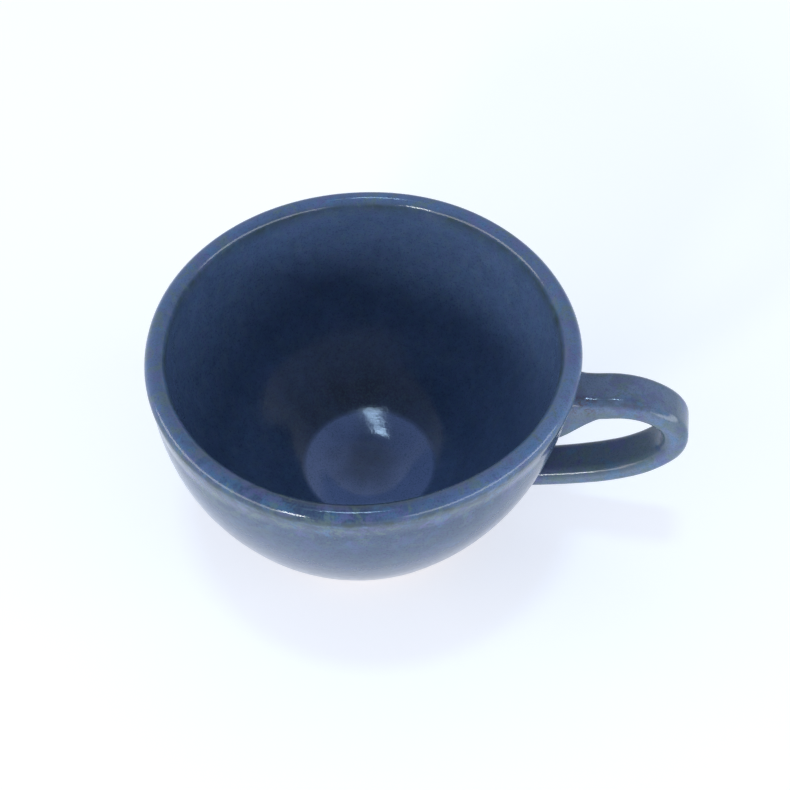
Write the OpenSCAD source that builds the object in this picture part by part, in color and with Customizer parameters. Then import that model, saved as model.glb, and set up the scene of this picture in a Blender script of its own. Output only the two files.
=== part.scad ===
// Shaving mug: a wheel-thrown stoneware bowl on a turned foot ring, with a pulled
// strap handle luted on at two flared pads, and glazed inside and out.
//
// Millimetres, +Z up. The origin is the centre of the foot ring's resting face,
// and the handle points along +X.

/* [Bowl] */
// Diameter over the lip
rim_d = 110; // [108:0.5:112]
// Height from the table to the top of the lip
mug_h = 66; // [65:0.5:68]
// Width of the lip, which is fully rounded
lip_t = 5.3; // [4.8:0.1:5.8]
// How far the lip stands proud of the wall below it
lip_roll = 0.5; // [0.2:0.1:0.8]
// Depth below the rim at which the wall is upright
upright_depth = 6; // [5:0.5:7]
// Radius of the long curve down the outside of the wall
flank_r = 84; // [82:1:87]
// Angle below level at which the flank turns into the heel
heel_a = 34; // [32:0.5:35]
// Radius of the heel, the quick curve in to the foot
heel_r = 22; // [21:0.5:23]

/* [Inside] */
// Height of the level floor above the table
floor_z = 9.3; // [8.8:0.1:10]
// Radius of the level floor
floor_r = 19; // [17:0.5:21]
// Radius of the cove between the floor and the wall
cove_r = 24; // [22:0.5:26]
// Slope of the cove where it meets the floor
cove_a = 18; // [12:1:24]

/* [Foot] */
// Outer diameter of the foot ring where it meets the heel
foot_d = 52; // [50:0.5:54]
// Width of the foot ring at its top
foot_w = 4.6; // [4:0.1:5.2]
// Depth of the turned recess inside the foot ring
recess_depth = 3.4; // [2.8:0.1:3.8]
// Taper of each side of the foot ring towards its resting face
foot_taper = 0.5; // [0.3:0.1:0.8]

/* [Handle] */
// Width of the strap
strap_w = 11.3; // [10.5:0.1:12]
// Thickness of the strap
strap_t = 6.6; // [6:0.1:7]
// Radius of the strap's long edges
strap_edge = 2.5; // [2:0.1:2.9]
// Distance from the mug's axis to the middle of the strap where it leaves the upper pad
strap_x = 62; // [61:0.5:63]
// Depth of that point below the rim
strap_depth = 11.8; // [11:0.1:13]
// Upward slope of the strap at that point
strap_rise = 13.5; // [11:0.5:16]
// Width of each pad at the wall
pad_w = 15; // [13:0.5:17]
// Reach of the upper pad up the wall from its root
upper_pad_up = 4; // [3.5:0.1:4.5]
// Reach of the upper pad down the wall from its root
upper_pad_down = 12; // [10:0.5:14]
// Reach of the lower pad up the wall from its root
lower_pad_up = 6; // [4.5:0.5:7]
// Reach of the lower pad down the wall from its root
lower_pad_down = 6; // [4.5:0.5:6.5]

/* [Glaze] */
// Thickness of the glaze coat
glaze_t = 0.5; // [0.4:0.1:0.6]
// Height above the table at which the outside glaze stops
glaze_line = 7; // [6:0.5:9]

/* [Hidden] */
$fn = 96;
chord = 2.5;

lip_r = lip_t / 2;
lip = [rim_d / 2 - lip_r, mug_h - lip_r];
mouth_r = rim_d / 2 - lip_t;

// Centres of the two arcs of the outside wall, which are tangent at heel_a
upright_z = mug_h - upright_depth;
flank = [rim_d / 2 - lip_roll - flank_r, upright_z];
heel = flank + (flank_r - heel_r) * [cos(heel_a), -sin(heel_a)];

// Centres of the two arcs inside. The cove's follows from the floor's edge, and the inner
// wall is the arc that is upright at upright_z and tangent to the cove.
cove = [floor_r - cove_r * sin(cove_a), floor_z + cove_r * cos(cove_a)];
cove_drop = upright_z - cove[1];
cove_reach = mouth_r - cove_r;
inner_x = (pow(cove_reach, 2) - pow(cove[0], 2) - pow(cove_drop, 2)) / (2 * (cove_reach - cove[0]));
inner = [inner_x, upright_z];
inner_r = mouth_r - inner_x;
inner_a = asin(cove_drop / (inner_r - cove_r));

foot_r = foot_d / 2;
foot_h = heel[1] - sqrt(pow(heel_r - glaze_t, 2) - pow(foot_r - heel[0], 2));
foot_inner_r = foot_r - foot_w;

// The strap's centreline after the upper pad, as [radius, angle turned] of each arc
strap_arcs = [[19, 46], [10.3, 89], [29, 29], [82, 15]];
strap_z = mug_h - strap_depth;
// Heading of the centreline at the start of arc i, and the point there
function heading(i) = i == 0 ? strap_rise : heading(i - 1) - strap_arcs[i - 1][1];
function across(a) = [-sin(a), cos(a)];
function knot(i) = i == 0
    ? [strap_x, strap_z]
    : knot(i - 1) + strap_arcs[i - 1][0] * (across(heading(i)) - across(heading(i - 1)));
last = len(strap_arcs);

// Each pad's root is a point inside the wall, this far below the end of the strap
upper_drop = 0.6;
lower_drop = 2;
upper_root = [mouth_r + lip_r / 2, strap_z - upper_drop];
lower_root = [heel[0] + heel_r * cos(heel_a) - lip_r, knot(last)[1] - lower_drop];
pad_steps = 10;

clay = [0.64, 0.54, 0.43];
dark_glaze = [0.12, 0.17, 0.3];
outer_glaze = [0.27, 0.34, 0.47];

// Points along an arc, no further apart than chord or 12 degrees
function arc(centre, r, from, to) =
    let (n = ceil(max(abs(to - from) / 12, abs(to - from) * PI / 180 * r / chord)))
    [for (i = [0 : n]) let (a = from + (to - from) * i / n) centre + r * [cos(a), sin(a)]];

function reversed(list) = [for (i = [len(list) - 1 : -1 : 0]) list[i]];

// Angle on the lip, below level, at which the flank runs into it
function lip_start(inset) =
    let (gap = norm(lip - flank), r = lip_r - inset, big_r = flank_r - inset)
    atan2(lip[1] - flank[1], lip[0] - flank[0])
        - acos((big_r * big_r - gap * gap - r * r) / (2 * gap * r));

// The same corner as an angle on the flank
function flank_end(inset) =
    let (corner = lip + (lip_r - inset) * [cos(lip_start(inset)), sin(lip_start(inset))])
    atan2(corner[1] - flank[1], corner[0] - flank[0]);

// The outside of the bowl from height bottom up to the crest of the lip, set back by inset
function outside_line(inset, bottom) = concat(
    arc(heel, heel_r - inset, -asin((heel[1] - bottom) / (heel_r - inset)), -heel_a),
    arc(flank, flank_r - inset, -heel_a, flank_end(inset)),
    arc(lip, lip_r - inset, lip_start(inset), 90)
);

// The inside of the bowl from the crest of the lip down to the middle of the floor
function inside_line(inset) = concat(
    arc(lip, lip_r - inset, 90, 180),
    arc(inner, inner_r + inset, 0, -inner_a),
    arc(cove, cove_r + inset, -inner_a, cove_a - 90),
    [[0, cove[1] - (cove_r + inset) * cos(cove_a)]]
);

// The bowl's clay with its hollow filled in
module filled_bowl() {
    rotate_extrude() polygon(concat(outside_line(glaze_t, foot_h), [[0, mug_h - glaze_t], [0, foot_h]]));
}

// Outline of a bar's section with rounded edges, as [across, up] of each point, from below to above
function bar_ring(width, above, below, edge) =
    let (x = width / 2 - edge, high = above - edge, low = edge - below)
    concat(
        arc([x, high], edge, 0, 90), arc([-x, high], edge, 90, 180),
        arc([-x, low], edge, 180, 270), arc([x, low], edge, 270, 360)
    );

// The ring of points of a section at place, a point of the XZ plane, with the path heading along a
function placed(ring, place, a) =
    [for (q = ring) [place[0] - q[1] * sin(a), q[0], place[1] + q[1] * cos(a)]];

// A closed solid through rings of as many points each. With loop, the last joins the first.
module skin(rings, loop = false) {
    n = len(rings[0]);
    total = n * len(rings);
    sides = [
        for (i = [0 : len(rings) - (loop ? 1 : 2)], j = [0 : n - 1])
            let (a = i * n + j, b = i * n + (j + 1) % n)
            each [[a, b, (b + n) % total], [a, (b + n) % total, (a + n) % total]]
    ];
    ends = loop ? [] : [[for (j = [n - 1 : -1 : 0]) j], [for (j = [0 : n - 1]) total - n + j]];
    polyhedron([for (ring = rings) each ring], concat(sides, ends));
}

// The rings of the strap from the upper pad to the lower one, set back by inset
function strap_rings(inset) =
    let (ring = bar_ring(strap_w - 2 * inset, strap_t / 2 - inset, strap_t / 2 - inset, strap_edge - inset))
    concat(
        [placed(ring, knot(0), heading(0))],
        [
            for (i = [0 : last - 1])
                let (r = strap_arcs[i][0], turn = strap_arcs[i][1], n = ceil(turn * PI / 180 * r / chord))
                let (centre = knot(i) - r * across(heading(i)))
                for (k = [1 : n])
                    let (a = heading(i) - turn * k / n)
                    placed(ring, centre + r * across(a), a)
        ]
    );

// A flared pad between the wall and end i of the strap. Its section grows from the strap's
// to one that is up above and down below root, a point inside the wall, and faces along tilt.
module pad_blank(i, start_tilt, root, tilt, up, down) {
    skin([
        for (k = [0 : pad_steps])
            let (u = k / pad_steps, flare = u * u * (3 - 2 * u))
            let (above = strap_t / 2 + (up - strap_t / 2) * flare)
            let (below = strap_t / 2 + (down - strap_t / 2) * flare)
            let (width = strap_w + (pad_w - strap_w) * flare)
            placed(
                bar_ring(width, above, below, strap_edge),
                knot(i) + (root - knot(i)) * u,
                start_tilt + (tilt - start_tilt) * u
            )
    ]);
}

module upper_pad_blank() {
    pad_blank(0, strap_rise, upper_root, 0, upper_pad_up, upper_pad_down);
}

module lower_pad_blank() {
    pad_blank(last, heading(last) + 180, lower_root, -heel_a, lower_pad_up, lower_pad_down);
}

module bowl() {
    color(clay) rotate_extrude() polygon(concat(
        outside_line(glaze_t, foot_h),
        inside_line(glaze_t),
        [[0, recess_depth], [foot_inner_r, recess_depth], [foot_inner_r, foot_h]]
    ));
}

module foot_ring() {
    color(clay) rotate_extrude() polygon([
        [foot_inner_r, foot_h], [foot_inner_r, recess_depth],
        [foot_inner_r + foot_taper, 0], [foot_r - foot_taper, 0], [foot_r, foot_h]
    ]);
}

module handle() {
    color(clay) skin(strap_rings(glaze_t));
}

module handle_glaze() {
    color(outer_glaze) skin(concat(strap_rings(0), reversed(strap_rings(glaze_t))), loop = true);
}

module upper_pad() {
    color(outer_glaze) difference() {
        upper_pad_blank();
        filled_bowl();
    }
}

module lower_pad() {
    color(outer_glaze) difference() {
        lower_pad_blank();
        filled_bowl();
    }
}

module interior_glaze() {
    color(dark_glaze) rotate_extrude()
        polygon(concat(inside_line(0), reversed(inside_line(glaze_t))));
}

module exterior_glaze() {
    color(outer_glaze) difference() {
        rotate_extrude()
            polygon(concat(outside_line(0, glaze_line), reversed(outside_line(glaze_t, glaze_line))));
        upper_pad_blank();
        lower_pad_blank();
    }
}

bowl();
foot_ring();
handle();
upper_pad();
lower_pad();
interior_glaze();
exterior_glaze();
handle_glaze();
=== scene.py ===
"""Looks of the shaving mug: a thrown stoneware bowl with a pulled strap handle, glazed blue.

Shapes are worked out in millimetres in the row frame, and the meshes are made in metres.
Angles are in degrees. Seen from above, angle 0 points at the handle, along X.
"""
import math

import bpy
from mathutils import Matrix, Vector, noise


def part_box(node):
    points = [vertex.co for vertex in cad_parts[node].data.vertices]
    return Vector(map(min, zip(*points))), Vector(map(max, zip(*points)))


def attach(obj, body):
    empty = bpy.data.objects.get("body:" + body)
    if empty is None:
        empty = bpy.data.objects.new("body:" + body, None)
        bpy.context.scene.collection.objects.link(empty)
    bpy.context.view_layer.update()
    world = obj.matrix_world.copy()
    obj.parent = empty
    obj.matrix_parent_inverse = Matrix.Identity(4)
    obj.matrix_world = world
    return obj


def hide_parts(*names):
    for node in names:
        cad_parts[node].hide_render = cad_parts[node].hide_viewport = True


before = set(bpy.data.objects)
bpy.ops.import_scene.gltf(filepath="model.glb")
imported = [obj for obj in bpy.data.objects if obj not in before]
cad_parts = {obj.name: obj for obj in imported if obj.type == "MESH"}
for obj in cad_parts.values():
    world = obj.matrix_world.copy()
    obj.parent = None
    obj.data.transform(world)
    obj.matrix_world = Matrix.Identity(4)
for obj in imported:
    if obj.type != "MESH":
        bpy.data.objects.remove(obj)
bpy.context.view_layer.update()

MM = 0.001
NOISE_SEED = 7
noise.seed_set(NOISE_SEED)


def corners_of(node):
    """The low and the high corner of a CAD node's box, in mm."""
    low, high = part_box(node)
    return low / MM, high / MM


# ---------------------------------------------------------------- sizes

inner_low = corners_of("interior_glaze")[0]
coat_low, coat_high = corners_of("exterior_glaze")
foot_high = corners_of("foot_ring")[1]
strap_low, strap_high = corners_of("handle_glaze")

GLAZE_T = 0.5
GLAZE_LINE = coat_low.z

MUG_H = coat_high.z
RIM_R = coat_high.y
LIP_T = 5.3
LIP_ROLL = 0.5
UPRIGHT_DEPTH = 6
NECK_Z = 57
FLANK_R = 84
HEEL_A = 34
HEEL_R = 22

FLOOR_Z = inner_low.z + GLAZE_T
FLOOR_R = 19
COVE_R = 24
COVE_A = 18
DISH_A = 18
DISH_FROM = 7
DISH_TO = 14

FOOT_R = foot_high.x
FOOT_H = foot_high.z
FOOT_W = 4.6
FOOT_TAPER = 0.5
FOOT_EDGE = 0.7
RECESS_DEPTH = 3.4

STRAP_W = strap_high.y - strap_low.y
STRAP_T = 6.6
STRAP_EDGE = 2.5
STRAP_X = 62
STRAP_Z = MUG_H - 11.8
STRAP_RISE = 13.5
# radius and turn of each arc of the strap's centreline, from its upper end to its lower end
STRAP_ARCS = [(19, 46), (10.3, 89), (29, 29), (82, 15)]
# the strap is deeper by START_DROP where it starts, and has its own depth after START_TURN
START_DROP = 1.1
START_TURN = 40

PAD_W = 15
# how far each pad's root reaches above and below its middle
UPPER_REACH = (4, 12)
LOWER_REACH = (6, 6)
# how far the middle of each root is below the end of the strap
UPPER_DROP = 0.6
LOWER_DROP = 2

# ---------------------------------------------------------------- how finely things are cut

AROUND = 240
HEEL_STEPS = 12
NECK_STEPS = 14
FLOOR_STEPS = 24
DISH_STEPS = 20
PAD_STEPS = 40
FLAT_STEPS = 10
FLANK_STEP = 1.2
WALL_STEP = 1.5
COVE_STEP = 2.5
LIP_STEP = 6
EDGE_STEP = 7.5
FOOT_STEP = 15
STRAP_STEP = 0.6
# a first step this short keeps the strap and its pads in line where they meet
SEAM = 0.03
CREST_A = 90
CREST_GAP = 0.5
LIP_GAP = 3
POLE_R = 1e-6

# ---------------------------------------------------------------- small geometry helpers


def polar(r, a):
    """The point at radius r and angle a."""
    return Vector((r * math.cos(math.radians(a)), r * math.sin(math.radians(a))))


def level(a):
    """The level direction at angle a about Z."""
    return Vector((math.cos(math.radians(a)), math.sin(math.radians(a)), 0))


def arc(centre, r, start, end, step):
    """Points along an arc, at most step degrees apart."""
    n = max(2, math.ceil(abs(end - start) / step))
    return [centre + polar(r, start + (end - start) * i / n) for i in range(n + 1)]


def smooth(x, low, high):
    """0 below low, 1 above high, and smooth between."""
    t = min(1.0, max(0.0, (x - low) / (high - low)))
    return t * t * (3 - 2 * t)


def bump(x, middle, width):
    """1 at middle, falling to nothing over a few widths."""
    return math.exp(-(((x - middle) / width) ** 2))


def facing(p, towards, spread):
    """1 for points on the side of the axis at angle towards, falling to nothing away from it."""
    around = math.degrees(math.atan2(p.y, p.x))
    return bump(abs((around - towards + 180) % 360 - 180), 0, spread)


# ---------------------------------------------------------------- the bowl's profile

LIP_R = LIP_T / 2
LIP = Vector((RIM_R - LIP_R, MUG_H - LIP_R))
MOUTH_R = RIM_R - LIP_T
FLANK = Vector((RIM_R - LIP_ROLL - FLANK_R, MUG_H - UPRIGHT_DEPTH))
HEEL = FLANK + polar(FLANK_R - HEEL_R, -HEEL_A)
COVE = Vector((FLOOR_R, FLOOR_Z)) + polar(COVE_R, 90 + COVE_A)

# the inside wall is one arc, upright at the mouth and tangent to the cove
cove_drop = FLANK.y - COVE.y
cove_reach = MOUTH_R - COVE_R
inner_x = (cove_reach**2 - COVE.x**2 - cove_drop**2) / (2 * (cove_reach - COVE.x))
INNER = Vector((inner_x, FLANK.y))
INNER_R = MOUTH_R - inner_x
INNER_A = math.degrees(math.asin(cove_drop / (INNER_R - COVE_R)))


def outside_line(inset, bottom):
    """The outside of the bowl, from height bottom up to the crest of the lip. The roll of the
    lip flows into the wall over a soft neck."""
    start = -math.degrees(math.asin((HEEL.y - bottom) / (HEEL_R - inset)))
    heel = [HEEL + polar(HEEL_R - inset, start + (-HEEL_A - start) * i / HEEL_STEPS)
            for i in range(HEEL_STEPS)]
    neck_a = -math.degrees(math.asin((FLANK.y - NECK_Z) / FLANK_R))
    flank = arc(FLANK, FLANK_R - inset, -HEEL_A, neck_a, FLANK_STEP)
    low = flank[-1]
    high = LIP + Vector((LIP_R - inset, 0))
    neck = [Vector((low.x + (high.x - low.x) * smooth(k, 0, NECK_STEPS),
                    low.y + (high.y - low.y) * k / NECK_STEPS)) for k in range(1, NECK_STEPS)]
    lip = arc(LIP, LIP_R - inset, 0, CREST_A - LIP_GAP, LIP_STEP)
    crest = [LIP + polar(LIP_R - inset, a) for a in (CREST_A - CREST_GAP, CREST_A)]
    return heel + flank + neck + lip + crest


def dish(radius, edge):
    """How far the floor has sunk at a radius, below its edge."""
    step = (edge - radius) / DISH_STEPS
    middles = [radius + step * (k + 0.5) for k in range(DISH_STEPS)]
    slopes = [DISH_A * smooth(r, DISH_FROM, DISH_TO) for r in middles]
    return sum(math.tan(math.radians(a)) for a in slopes) * step


def inside_line(inset):
    """The inside of the bowl, from the crest of the lip down to the middle of the floor."""
    crest = [LIP + polar(LIP_R - inset, a) for a in (CREST_A, CREST_A + CREST_GAP)]
    lip = arc(LIP, LIP_R - inset, CREST_A + LIP_GAP, 180, LIP_STEP)
    wall = arc(INNER, INNER_R + inset, 0, -INNER_A, WALL_STEP)
    cove = arc(COVE, COVE_R + inset, -INNER_A, COVE_A - 90, COVE_STEP)[1:]
    edge = cove[-1]
    radii = [edge.x * k / FLOOR_STEPS for k in range(FLOOR_STEPS - 1, -1, -1)]
    return crest + lip + wall + cove + [Vector((r, edge.y - dish(r, edge.x))) for r in radii]


# ---------------------------------------------------------------- the unevenness of hand work

LEAN = 0.057
LEAN_TOWARDS = -level(10)
FLOOR_TIP = 0.1
PUSH = 1.3
PUSH_AT = 300
PUSH_SPREAD = 46
PUSH_TOWARDS = level(100)
SWAY = 0.35
SWAY_SIZE = 34
PULL = 0.22
PULL_SIZE = 11
PULL_PLACE = Vector((7, 3, 5))


def handmade(p):
    """Where a point of the true bowl lies on the thrown one, which leans and is out of round.
    The foot stays true, and so does the underside."""
    radius = math.hypot(p.x, p.y)
    lean = LEAN * (MUG_H - p.z) * smooth(p.z, 10, 24) * smooth(radius, 20, 34)
    push = PUSH * facing(p, PUSH_AT, PUSH_SPREAD) * smooth(p.z, 40, 63) * smooth(radius, 30, 45)
    sway = noise.noise_vector(p / SWAY_SIZE) * SWAY * smooth(p.z, 8, 30)
    tip = 0
    if p.z > RECESS_DEPTH + 1:
        tip = FLOOR_TIP * p.dot(LEAN_TOWARDS) * (1 - min(1, radius / FLOOR_R) ** 2)
    return p + LEAN_TOWARDS * lean + PUSH_TOWARDS * push + sway + Vector((0, 0, tip))


def pulled(p):
    """Where a point of the true strap lies on the pulled one, which is a little thick and thin."""
    return p + noise.noise_vector(p / PULL_SIZE + PULL_PLACE) * PULL


# ---------------------------------------------------------------- meshes

SHARP_A = 42


def make_piece(name, points, faces, traits, material):
    """A piece from points in mm, with one value of each trait for every point."""
    mesh = bpy.data.meshes.new(name)
    mesh.from_pydata([p * MM for p in points], [], faces)
    for trait, values in traits.items():
        layer = mesh.attributes.new(trait, "FLOAT", "POINT")
        layer.data.foreach_set("value", values)
    mesh.shade_smooth()
    mesh.set_sharp_from_angle(angle=math.radians(SHARP_A))
    mesh.materials.append(material)
    piece = bpy.data.objects.new(name, mesh)
    bpy.context.scene.collection.objects.link(piece)
    return piece


def lathe(name, outline, material, traits):
    """Turns a closed outline about Z, and makes it as uneven as the bowl. outline(angle) gives
    its points as radius and height. Each trait is a function of the true point."""
    points = []
    true_points = []
    index = []
    poles = {}
    for i in range(AROUND):
        angle = 360 * i / AROUND
        row = []
        for j, q in enumerate(outline(angle)):
            at_pole = q.x < POLE_R
            if at_pole and j in poles:
                row.append(poles[j])
                continue
            if at_pole:
                poles[j] = len(points)
            row.append(len(points))
            flat = polar(q.x, angle)
            true = Vector((flat.x, flat.y, q.y))
            true_points.append(true)
            points.append(handmade(true))
        index.append(row)
    faces = []
    size = len(index[0])
    for i in range(AROUND):
        here = index[i]
        after = index[(i + 1) % AROUND]
        for j in range(size):
            k = (j + 1) % size
            face = list(dict.fromkeys([here[j], here[k], after[k], after[j]]))
            if len(face) > 2:
                faces.append(face[::-1])
    values = {trait: [f(p) for p in true_points] for trait, f in traits.items()}
    return make_piece(name, points, faces, values, material)


def skin(name, rings, material, traits, loop=False):
    """A closed piece through rings of as many points, each point with its values of the traits.
    With loop, the last ring joins the first."""
    size = len(rings[0])
    total = size * len(rings)
    faces = []
    for i in range(len(rings) if loop else len(rings) - 1):
        for j in range(size):
            a = i * size + j
            b = i * size + (j + 1) % size
            faces.append([a, b, (b + size) % total, (a + size) % total])
    if not loop:
        faces.append(list(range(size - 1, -1, -1)))
        faces.append(list(range(total - size, total)))
    flat = [point for ring in rings for point in ring]
    values = {trait: [q[1][trait] for q in flat] for trait in traits}
    return make_piece(name, [pulled(q[0]) for q in flat], faces, values, material)


# ---------------------------------------------------------------- the path of the strap

LAST = len(STRAP_ARCS)


def heading(i):
    """The direction of the strap's centreline at knot i, above level."""
    return STRAP_RISE - sum(turned for r, turned in STRAP_ARCS[:i])


def knot(i):
    """The start of arc i of the strap's centreline, in the XZ plane. Knot LAST is its end."""
    at = Vector((STRAP_X, STRAP_Z))
    for k in range(i):
        r = STRAP_ARCS[k][0]
        at += polar(r, heading(k + 1) + 90) - polar(r, heading(k) + 90)
    return at


def stations():
    """Every place along the strap, as its point and heading, close together at both ends."""
    places = [(knot(0), heading(0))]
    for i, (r, turned) in enumerate(STRAP_ARCS):
        centre = knot(i) + polar(r, heading(i) - 90)
        n = math.ceil(math.radians(turned) * r / STRAP_STEP)
        steps = [k / n for k in range(1, n + 1)]
        if i == 0:
            steps.insert(0, SEAM / n)
        if i == LAST - 1:
            steps.insert(-1, 1 - SEAM / n)
        for t in steps:
            a = heading(i) - turned * t
            places.append((centre + polar(r, a + 90), a))
    return places


def bar_ring(width, above, below, edge):
    """A section with rounded edges, as its points and how much of an edge each one is."""
    x = width / 2 - edge
    corners = [Vector((x, above - edge)), Vector((-x, above - edge)),
               Vector((-x, edge - below)), Vector((x, edge - below))]
    ring = []
    for i, corner in enumerate(corners):
        start = 90 * i
        bend = arc(corner, edge, start, start + 90, EDGE_STEP)
        for k, q in enumerate(bend):
            ring.append((q, math.sin(math.radians(180 * k / (len(bend) - 1)))))
        after = corners[(i + 1) % 4] + polar(edge, start + 90)
        for k in range(1, FLAT_STEPS):
            ring.append((bend[-1] + (after - bend[-1]) * k / FLAT_STEPS, 0.0))
    return ring


def placed(ring, at, a, traits):
    """The section's points at a place on the path, with their traits."""
    out = []
    for q, share in ring:
        p = Vector((at.x - q.y * math.sin(math.radians(a)), q.x,
                    at.y + q.y * math.cos(math.radians(a))))
        out.append((p, traits(p, q, share)))
    return out


# ---------------------------------------------------------------- material nodes


class Graph:
    """A material's nodes, added one at a time."""

    def __init__(self, name):
        self.material = bpy.data.materials.new(name)
        self.material.use_nodes = True
        self.tree = self.material.node_tree
        self.tree.nodes.clear()
        self.place = self.add("TexCoord", {}, "Object")

    def add(self, kind, inputs, out=0, **props):
        """Adds a node, sets or links its inputs, and gives one of its outputs."""
        node = self.tree.nodes.new("ShaderNode" + kind)
        for prop, value in props.items():
            setattr(node, prop, value)
        for key, value in inputs.items():
            if isinstance(value, bpy.types.NodeSocket):
                self.tree.links.new(value, node.inputs[key])
            else:
                node.inputs[key].default_value = value
        return node.outputs[out]

    def noise(self, size, detail, rough=0.55, swirl=0.0):
        """Cloudy noise about 0.5, with features about size mm across."""
        return self.add("TexNoise", {"Vector": self.place, "Scale": 1 / (size * MM),
                                     "Detail": detail, "Roughness": rough, "Distortion": swirl})

    def trait(self, name):
        """A value that the mesh carries."""
        return self.add("Attribute", {}, "Fac", attribute_name=name)

    def plus(self, a, b):
        return self.add("Math", {0: a, 1: b}, operation="ADD")

    def times(self, a, b):
        return self.add("Math", {0: a, 1: b}, operation="MULTIPLY")

    def swing(self, value, by):
        """Turns noise about 0.5 into noise about 0 that is by times as strong."""
        return self.times(self.add("Math", {0: value, 1: 0.5}, operation="SUBTRACT"), by)

    def span(self, value, low, high, to_low=0.0, to_high=1.0):
        """Takes low to high smoothly to to_low to to_high."""
        inputs = {"Value": value, "From Min": low, "From Max": high,
                  "To Min": to_low, "To Max": to_high}
        return self.add("MapRange", inputs, interpolation_type="SMOOTHSTEP")

    def mix(self, share, under, over):
        """Lays a share of colour over on the colour under it."""
        return self.add("Mix", {0: share, 6: under, 7: (*over, 1)}, 2, data_type="RGBA")

    def ramp(self, value, stops):
        """A colour for each value, through the stops."""
        node = self.tree.nodes.new("ShaderNodeValToRGB")
        while len(node.color_ramp.elements) < len(stops):
            node.color_ramp.elements.new(1.0)
        for element, (at, colour) in zip(node.color_ramp.elements, stops):
            element.position = at
            element.color = (*colour, 1)
        self.tree.links.new(value, node.inputs[0])
        return node.outputs[0]

    def bump(self, height, strength, depth, under=None):
        """Bumps up to depth mm deep, on top of the bumps under them."""
        inputs = {"Height": height, "Strength": strength, "Distance": depth * MM}
        if under is not None:
            inputs["Normal"] = under
        return self.add("Bump", inputs)

    def surface(self, inputs):
        """Ends the graph in the shader, and gives the material."""
        shader = self.add("BsdfPrincipled", inputs)
        output = self.tree.nodes.new("ShaderNodeOutputMaterial")
        self.tree.links.new(shader, output.inputs["Surface"])
        return self.material


# ---------------------------------------------------------------- the glazes and the clay

# the glaze's colour for each tone, to which painted light and painted shade are added. The inside
# wall is low, the lip is about the middle, and the hazy outside wall is at 1
BOWL_STOPS = [
    (0.0, (0.012, 0.020, 0.046)),
    (0.3, (0.042, 0.070, 0.150)),
    (0.55, (0.084, 0.136, 0.285)),
    (0.7, (0.115, 0.184, 0.350)),
    (1.0, (0.054, 0.080, 0.145)),
]
STRAP_STOPS = [
    (0.0, (0.045, 0.075, 0.160)),
    (0.5, (0.120, 0.162, 0.225)),
    (0.8, (0.125, 0.175, 0.300)),
    (1.0, (0.118, 0.158, 0.218)),
]
# azure, green-grey and violet patches: their size, the noise where one starts and where it is
# full, their share and their colour
PATCHES = [
    (5, 0.52, 0.64, 0.45, (0.060, 0.170, 0.330)),
    (4, 0.50, 0.62, 0.65, (0.100, 0.155, 0.155)),
    (6, 0.50, 0.62, 0.60, (0.100, 0.105, 0.265)),
]
# the colour of the painted reflection on the floor of the bowl
FLOOR_PAINTED_LIGHT = (0.175, 0.240, 0.465)
FLECK = (0.045, 0.110, 0.150)
PIT = (0.010, 0.020, 0.045)
BROKEN = (0.036, 0.057, 0.062)
IRON = (0.085, 0.058, 0.055)
CLAY_STOPS = [(0.3, (0.3, 0.21, 0.14)), (0.7, (0.42, 0.32, 0.23))]
SPECK = (0.06, 0.035, 0.02)

CLOUD_SWING = 0.2
MOTTLE_SWING = 0.16
FLECK_SHARE = 0.45
PIT_SHARE = 0.3
SKIN_DEPTH = 0.05
GRAIN_DEPTH = 0.04
GRIT_DEPTH = 0.06


def glaze(name, stops):
    """A mottled glaze that breaks green-grey where it is thin, and is painted lighter on the bowl's
    floor as a painted reflection of the light above.
    """
    g = Graph(name)
    cloud = g.noise(size=7, detail=4, rough=0.6, swirl=0.4)
    mottle = g.noise(size=2.2, detail=3, rough=0.6, swirl=0.2)
    grain = g.noise(size=0.55, detail=2, rough=0.5)
    tone_and_painted_light = g.plus(g.trait("tone_and_painted_light"), g.swing(cloud, CLOUD_SWING))
    colour = g.ramp(g.plus(tone_and_painted_light, g.swing(mottle, MOTTLE_SWING)), stops)
    for size, low, high, share, tint in PATCHES:
        cells = g.noise(size, detail=4, rough=0.65, swirl=0.5)
        patch = g.times(g.span(cells, low, high, to_high=share), g.trait("rich"))
        colour = g.mix(patch, colour, tint)
    # the painted reflection on the bowl's floor
    colour = g.mix(g.trait("floor_painted_light"), colour, FLOOR_PAINTED_LIGHT)
    colour = g.mix(g.times(g.span(grain, low=0.5, high=0.66), FLECK_SHARE), colour, FLECK)
    colour = g.mix(g.times(g.span(grain, low=0.48, high=0.3), PIT_SHARE), colour, PIT)
    torn = g.span(mottle, low=0.3, high=0.6, to_low=0.45)
    colour = g.mix(g.times(g.trait("thin"), torn), colour, BROKEN)
    spots = g.span(g.noise(size=1.6, detail=4, rough=0.65, swirl=0.5), low=0.44, high=0.6)
    colour = g.mix(g.times(g.trait("rust"), spots), colour, IRON)
    skin_bump = g.bump(g.noise(size=1.5, detail=2), 0.5, SKIN_DEPTH)
    return g.surface({
        "Base Color": colour,
        "Roughness": g.span(mottle, low=0.3, high=0.7, to_low=0.1, to_high=0.17),
        "IOR": 1.5,
        "Specular IOR Level": 0.35,
        "Normal": g.bump(grain, 0.5, GRAIN_DEPTH, skin_bump),
    })


def clay():
    """Bare buff stoneware with iron specks and a fine grit."""
    g = Graph("bare_stoneware")
    colour = g.ramp(g.noise(size=9, detail=5, rough=0.6), CLAY_STOPS)
    specks = g.span(g.noise(size=0.8, detail=2, rough=0.5), low=0.64, high=0.72)
    grit = g.noise(size=0.4, detail=3, rough=0.6)
    return g.surface({
        "Base Color": g.mix(specks, colour, SPECK),
        "Roughness": g.span(grit, low=0.3, high=0.7, to_low=0.7, to_high=0.9),
        "Normal": g.bump(grit, 0.6, GRIT_DEPTH),
    })


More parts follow.
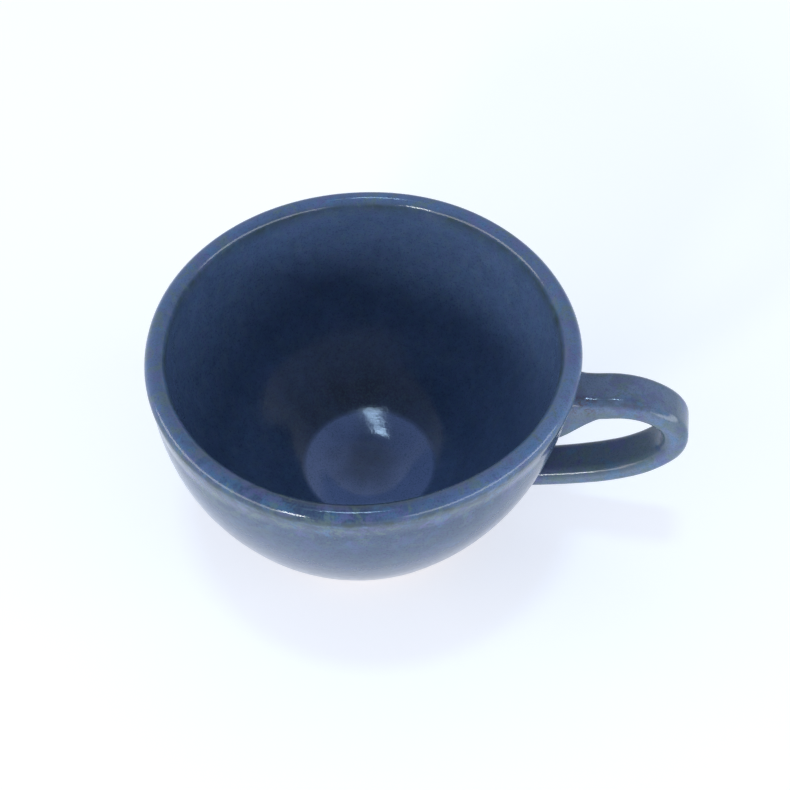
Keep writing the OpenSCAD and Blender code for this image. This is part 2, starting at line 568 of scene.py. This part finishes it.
clay_material = clay()
inner_material = glaze("inner_blue_glaze", BOWL_STOPS)
outer_material = glaze("outer_blue_glaze", BOWL_STOPS)
strap_material = glaze("strap_blue_glaze", STRAP_STOPS)

# ---------------------------------------------------------------- traits of the bowl's glaze

WALL_TONE = 0.36
LIP_TONE = 0.53
OUTSIDE_TONE = 1
# sides of the bowl with painted light and painted shade: the angle of the side, its spread, and the
# change
# painted shade on the near side of the lip, and a painted sheen on the lip next to it
LIP_PAINTED_SHADE = (268, 34, -0.3)
LIP_PAINTED_SHEEN = (328, 36, 0.14)
# painted light high on the far wall and low on the right wall, and painted shade in the far side of
# the cove
FAR_WALL_PAINTED_LIGHT = (90, 60, 0.05)
RIGHT_WALL_PAINTED_LIGHT = (350, 55, 0.1)
COVE_SHADE = (105, 60, -0.24)
COVE_MIDDLE = 24
COVE_SPREAD = 7

# the glaze breaks in a line inside the lip, which is higher on one side, and a band outside it
LINE_UP = 0.5
LINE_HIGH = (280, 60, 1.1)
LINE_WIDTH = 1.1
LINE_SHARE = 0.9
BAND_DOWN = 0.2
BAND_WIDTH = 1.5
BAND_SHARE = 0.9

# the dark middle of the floor
DARK_X = -0.8
DARK_Y = 3
DARK_R = 17
DARK_WANDER = 4


def wander(p, size, seed):
    """Noise from -1 to 1 that changes over size mm."""
    return noise.noise(p / size + Vector((seed, seed, seed)))


def change(p, side):
    """The change that one side of the bowl brings at a point."""
    towards, spread, most = side
    return most * facing(p, towards, spread)


def lip_tone_and_painted_light(p):
    """The lip is painted darker on its near side, as painted shade, and paler next to it, as a
    painted sheen.
    """
    return LIP_TONE + change(p, LIP_PAINTED_SHADE) + change(p, LIP_PAINTED_SHEEN)


def inner_tone_and_painted_light(p):
    """The inside wall is painted lighter high on its far side and low on its right, as painted
    light, and darker in the cove on its far side, as painted shade.
    """
    radius = math.hypot(p.x, p.y)
    wall = (WALL_TONE + change(p, FAR_WALL_PAINTED_LIGHT) * smooth(p.z, 25, 60)
            + change(p, RIGHT_WALL_PAINTED_LIGHT) * (1 - smooth(p.z, 40, 60))
            + change(p, COVE_SHADE) * bump(radius, COVE_MIDDLE, COVE_SPREAD))
    over_lip = smooth(p.z, LIP.y - 1.5, MUG_H) * smooth(radius, MOUTH_R - 1, LIP.x)
    return wall + (lip_tone_and_painted_light(p) - wall) * over_lip


def outer_tone_and_painted_light(p):
    over_lip = smooth(p.z, LIP.y - 1.6, LIP.y + 0.8)
    return OUTSIDE_TONE + (lip_tone_and_painted_light(p) - OUTSIDE_TONE) * over_lip


def inner_rich(p):
    """How patched the glaze is, which is most on the lip."""
    return 0.2 + 0.8 * smooth(p.z, LIP.y - 2, MUG_H)


def outer_rich(p):
    return 0.3 + 0.7 * smooth(p.z, NECK_Z - 5, NECK_Z + 3)


def inner_thin(p):
    """The line along the inner edge of the lip."""
    middle = LIP.y + LINE_UP + change(p, LINE_HIGH) + 0.5 * wander(p, 9, 2)
    inward = smooth(math.hypot(p.x, p.y), LIP.x, LIP.x - 1.2)
    return LINE_SHARE * bump(p.z, middle, LINE_WIDTH) * inward * (0.75 + 0.5 * wander(p, 6, 4))


def outer_thin(p):
    """The band along the outer edge of the lip."""
    middle = LIP.y - BAND_DOWN + 0.6 * wander(p, 12, 3)
    return BAND_SHARE * bump(p.z, middle, BAND_WIDTH) * (0.85 + 0.5 * wander(p, 3, 7))


def floor_painted_light(p):
    """Painted reflection: the floor is painted lighter, as the light above it shows there, around
    its dark middle.
    """
    on_floor = 1 - smooth(math.hypot(p.x, p.y), FLOOR_R - 0.8, FLOOR_R + 0.5)
    out = math.hypot(p.x - DARK_X, p.y - DARK_Y) + DARK_WANDER * wander(p, 6, 5)
    return on_floor * smooth(out, 0, DARK_R)


def none(p):
    return 0.0


INNER_TRAITS = {"tone_and_painted_light": inner_tone_and_painted_light, "rich": inner_rich, "thin": inner_thin, "floor_painted_light": floor_painted_light,
                "rust": none}
OUTER_TRAITS = {"tone_and_painted_light": outer_tone_and_painted_light, "rich": outer_rich, "thin": outer_thin, "floor_painted_light": none,
                "rust": none}

# ---------------------------------------------------------------- the bowl's pieces

# the lower edge of the outside coat: its height over the glaze line, how far it wanders, over
# what length on a circle of what radius, and the height of its bead
EDGE_UP = 0.9
EDGE_WANDER = 0.8
EDGE_SIZE = 4
EDGE_CIRCLE_R = 10
EDGE_BEAD = 0.15


def body_outline(angle):
    recess_r = FOOT_R - FOOT_W
    under = [Vector((0, RECESS_DEPTH)), Vector((recess_r, RECESS_DEPTH)), Vector((recess_r, FOOT_H))]
    return outside_line(GLAZE_T, FOOT_H)[:-1] + inside_line(GLAZE_T) + under


def foot_outline(angle):
    inner = FOOT_R - FOOT_W
    rest_in = Vector((inner + FOOT_TAPER + FOOT_EDGE, FOOT_EDGE))
    rest_out = Vector((FOOT_R - FOOT_TAPER - FOOT_EDGE, FOOT_EDGE))
    return ([Vector((inner, FOOT_H)), Vector((inner, RECESS_DEPTH))]
            + arc(rest_in, FOOT_EDGE, 180, 270, FOOT_STEP)
            + arc(rest_out, FOOT_EDGE, 270, 360, FOOT_STEP)
            + [Vector((FOOT_R, FOOT_H))])


def inner_coat(angle):
    return inside_line(0) + inside_line(GLAZE_T)[::-1]


def outer_coat(angle):
    """The outside coat, whose lower edge wanders and ends in a bead."""
    near = polar(EDGE_CIRCLE_R, angle)
    wave = noise.noise(Vector((near.x, near.y, 0)) / EDGE_SIZE)
    edge = GLAZE_LINE + EDGE_UP + EDGE_WANDER * wave
    return outside_line(0, edge) + outside_line(GLAZE_T, edge - EDGE_BEAD)[::-1]


body = lathe("thrown_body", body_outline, clay_material, {})
foot = lathe("turned_foot", foot_outline, clay_material, {})
inside = lathe("inside_glaze", inner_coat, inner_material, INNER_TRAITS)
outside = lathe("outside_glaze", outer_coat, outer_material, OUTER_TRAITS)

# ---------------------------------------------------------------- the handle's pieces

STRAP_TONE = 0.58
TOP_TONE = 0.25
# painted shade on the inside of the strap's loop, which faces the bowl
UNDER_PAINTED_SHADE = -0.15
OUTER_TONE = 0.17
# painted shade on the low end of the strap, near the bowl and the table
LOW_PAINTED_SHADE = -0.12
EDGE_THIN = 0.4
# where the glaze breaks brown along the strap's edges: distance from the axis, spread, share
RUST_SPOTS = [(57, 3, 0.8), (69, 5, 0.35)]
RUST_LOW = 50
UPPER_ROOT = Vector((MOUTH_R + LIP_R / 2, STRAP_Z - UPPER_DROP))
LOWER_ROOT = Vector((HEEL.x + HEEL_R * math.cos(math.radians(HEEL_A)) - LIP_R,
                     knot(LAST).y - LOWER_DROP))


def strap_traits(p, q, share):
    """The strap's glaze is thin on its edges, and bluer on top, on the outside of its loop. Its
    underside, on the inside of the loop that faces the bowl, is painted darker as painted shade, and
    so is its low end. p is the point on the mug, q the same point in the section, and share how much
    of an edge it is."""
    tone_and_painted_light = (STRAP_TONE + TOP_TONE * smooth(q.y, -2, 2) + UNDER_PAINTED_SHADE * smooth(-q.y, 0, 3)
            + OUTER_TONE * smooth(p.x, 70, 84) + LOW_PAINTED_SHADE * (1 - smooth(p.z, 28, 40)))
    on_edge = smooth(abs(q.x), STRAP_W / 2 - 3, STRAP_W / 2 - 1)
    rust = sum(most * bump(p.x, at, spread) for at, spread, most in RUST_SPOTS)
    return {
        "tone_and_painted_light": tone_and_painted_light,
        "rich": 1.0,
        "thin": EDGE_THIN * share * (0.6 + 0.6 * wander(p, 5, 6)),
        "floor_painted_light": 0.0,
        "rust": on_edge * rust * smooth(p.z, RUST_LOW, RUST_LOW + 4),
    }


def strap_rings(inset):
    half = STRAP_T / 2 - inset
    rings = []
    for at, a in stations():
        drop = half + START_DROP * smooth(a, STRAP_RISE - START_TURN, STRAP_RISE)
        ring = bar_ring(STRAP_W - 2 * inset, half, drop, STRAP_EDGE - inset)
        rings.append(placed(ring, at, a, strap_traits))
    return rings


def pad_rings(start, first_drop, first_tilt, root, root_tilt, reach, inward):
    """The rings of a flared pad. Its path leaves the end of the strap at start in the direction
    inward, which is the strap's own, and curves to its root inside the wall. Its section starts
    as the strap's, whose underside is lower by first_drop. The rings start at the root."""
    control = start + polar((root - start).length / 2, inward)
    half = STRAP_T / 2
    rings = []
    for u in [0, SEAM / 4] + [(k + 1) / PAD_STEPS for k in range(PAD_STEPS)]:
        at = start * (1 - u) ** 2 + control * 2 * u * (1 - u) + root * u**2
        rise = (reach[0] - half) * smooth(u, 0.5, 1)
        fall = smooth(u, 0.1, 0.9) - 0.05 * smooth(u, 0.9, 1)
        drop = first_drop + (reach[1] - half - first_drop) * fall
        width = STRAP_W + (PAD_W - STRAP_W) * smooth(u, 0.4, 1)
        tilt = first_tilt + (root_tilt - first_tilt) * smooth(u, 0, 1)
        ring = placed(bar_ring(width, half + rise, half + drop, STRAP_EDGE), at, tilt, strap_traits)
        seated = smooth(u, 0.2, 0.9)
        rings.append([(p + (handmade(p) - p) * seated, traits) for p, traits in ring])
    return rings[::-1]


TRAIT_NAMES = ["tone_and_painted_light", "rich", "thin", "floor_painted_light", "rust"]
tube_rings = strap_rings(0) + strap_rings(GLAZE_T)[::-1]
upper_rings = pad_rings(knot(0), START_DROP, heading(0), UPPER_ROOT, 0, UPPER_REACH,
                        heading(0) + 180)
lower_rings = pad_rings(knot(LAST), 0, heading(LAST) + 180, LOWER_ROOT, -HEEL_A, LOWER_REACH,
                        heading(LAST))
core = skin("strap_core", strap_rings(GLAZE_T), clay_material, [])
tube = skin("strap_glaze", tube_rings, strap_material, TRAIT_NAMES, loop=True)
upper = skin("upper_attachment", upper_rings, strap_material, TRAIT_NAMES)
lower = skin("lower_attachment", lower_rings, strap_material, TRAIT_NAMES)

STANDS_FOR = [
    (body, "bowl", "stoneware"),
    (foot, "foot_ring", "stoneware"),
    (inside, "interior_glaze", "inner_glaze"),
    (outside, "exterior_glaze", "outer_glaze"),
    (core, "handle", "stoneware"),
    (tube, "handle_glaze", "outer_glaze"),
    (upper, "upper_pad", "outer_glaze"),
    (lower, "lower_pad", "outer_glaze"),
]
for piece, node, slot in STANDS_FOR:
    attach(piece, "root")
    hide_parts(node)

# ---------------------------------------------------------------- the floor

FLOOR_HALF = 3000
FLOOR_STOPS = [(0.3, (0.86, 0.86, 0.88)), (0.7, (0.9, 0.9, 0.91))]
FLOOR_GLOW = (0.86, 0.89, 1.0, 1)


def floor_material():
    """Pale paper with a little glow of its own, as on a brightly lit table."""
    g = Graph("pale_floor")
    return g.surface({
        "Base Color": g.ramp(g.noise(size=400, detail=2), FLOOR_STOPS),
        "Roughness": 0.9,
        "Specular IOR Level": 0.1,
        "Emission Color": FLOOR_GLOW,
        "Emission Strength": 0.38,
    })


square = ((-1, -1), (1, -1), (1, 1), (-1, 1))
floor_mesh = bpy.data.meshes.new("floor")
floor_mesh.from_pydata([Vector((x, y, 0)) * FLOOR_HALF * MM for x, y in square], [], [(0, 1, 2, 3)])
floor_mesh.materials.append(floor_material())
floor = bpy.data.objects.new("floor", floor_mesh)
bpy.context.scene.collection.objects.link(floor)

# ---------------------------------------------------------------- light

# the way the camera looks, seen from above
AHEAD_A = 100

# azimuth, elevation, distance, size, power and colour, with lengths in metres
LIGHTS = {
    "right_side": (125, 14, 2.2, (0.6, 3.2), 34, (0.88, 0.94, 1.0)),
    "left_side": (-112, 14, 2.2, (0.6, 3.2), 31, (1.0, 0.98, 0.96)),
    "overhead": (-50, 86, 1.4, (0.2, 0.12), 2.8, (0.5, 0.74, 1.0)),
    "lamp": (-151, 18, 1.5, (0.2, 0.24), 6.5, (0.94, 0.98, 1.0)),
}
ROOM_COLOUR = (0.86, 0.92, 1.0, 1)
ROOM_FADE = {"From Min": 0.3, "From Max": 0.7, "To Min": 0.8, "To Max": 0.28}
DARK_END_UP = 60


def direction(azimuth, elevation):
    """A direction from the mug. Azimuth turns to the right from the way the camera looks."""
    flat = polar(math.cos(math.radians(elevation)), AHEAD_A - azimuth)
    return Vector((flat.x, flat.y, math.sin(math.radians(elevation))))


def softbox(name, azimuth, elevation, distance, size, power, colour):
    """A soft light that faces the mug. Its second side points ahead as nearly as it can."""
    light = bpy.data.lights.new(name, "AREA")
    light.shape = "RECTANGLE"
    light.size, light.size_y = size
    light.energy = power
    light.color = colour
    box = bpy.data.objects.new(name, light)
    towards = direction(azimuth, elevation)
    ahead = direction(0, 0)
    second = (ahead - ahead.dot(towards) * towards).normalized()
    turned = Matrix((second.cross(towards), second, towards)).transposed().to_4x4()
    box.matrix_world = Matrix.Translation(towards * distance) @ turned
    bpy.context.scene.collection.objects.link(box)


def studio():
    """A room whose walls are pale, but for a dark end above and behind the camera."""
    world = bpy.data.worlds.new("studio")
    world.use_nodes = True
    tree = world.node_tree
    place = tree.nodes.new("ShaderNodeTexCoord")
    towards_dark = tree.nodes.new("ShaderNodeVectorMath")
    towards_dark.operation = "DOT_PRODUCT"
    towards_dark.inputs[1].default_value = direction(180, DARK_END_UP)
    tree.links.new(place.outputs["Generated"], towards_dark.inputs[0])
    fade = tree.nodes.new("ShaderNodeMapRange")
    fade.interpolation_type = "SMOOTHSTEP"
    for key, value in ROOM_FADE.items():
        fade.inputs[key].default_value = value
    tree.links.new(towards_dark.outputs["Value"], fade.inputs["Value"])
    background = tree.nodes["Background"]
    background.inputs["Color"].default_value = ROOM_COLOUR
    tree.links.new(fade.outputs["Result"], background.inputs["Strength"])
    bpy.context.scene.world = world


for name, light_values in LIGHTS.items():
    softbox(name, *light_values)
studio()
bpy.context.scene.view_settings.view_transform = "Standard"

# ---------------------------------------------------------------- camera

CAMERA_AT = Vector((38.16, -172.15, 267.59))
CAMERA_DOWN = 52.06
CAMERA_ROLL = -0.65
CAMERA_LENS = 48.58
IMAGE_SIDE = 790

forward = -direction(180, CAMERA_DOWN)
right = Matrix.Rotation(math.radians(-CAMERA_ROLL), 3, forward) @ level(AHEAD_A - 90)
up = right.cross(forward)
camera_data = bpy.data.cameras.new("camera")
camera_data.lens = CAMERA_LENS
camera_data.shift_y = -1 / IMAGE_SIDE
camera = bpy.data.objects.new("camera", camera_data)
camera_turn = Matrix((right, up, -forward)).transposed().to_4x4()
camera.matrix_world = Matrix.Translation(CAMERA_AT * MM) @ camera_turn
bpy.context.scene.collection.objects.link(camera)
bpy.context.scene.camera = camera

# ---------------------------------------------------------------- the scene brought up to date

bpy.context.view_layer.update()
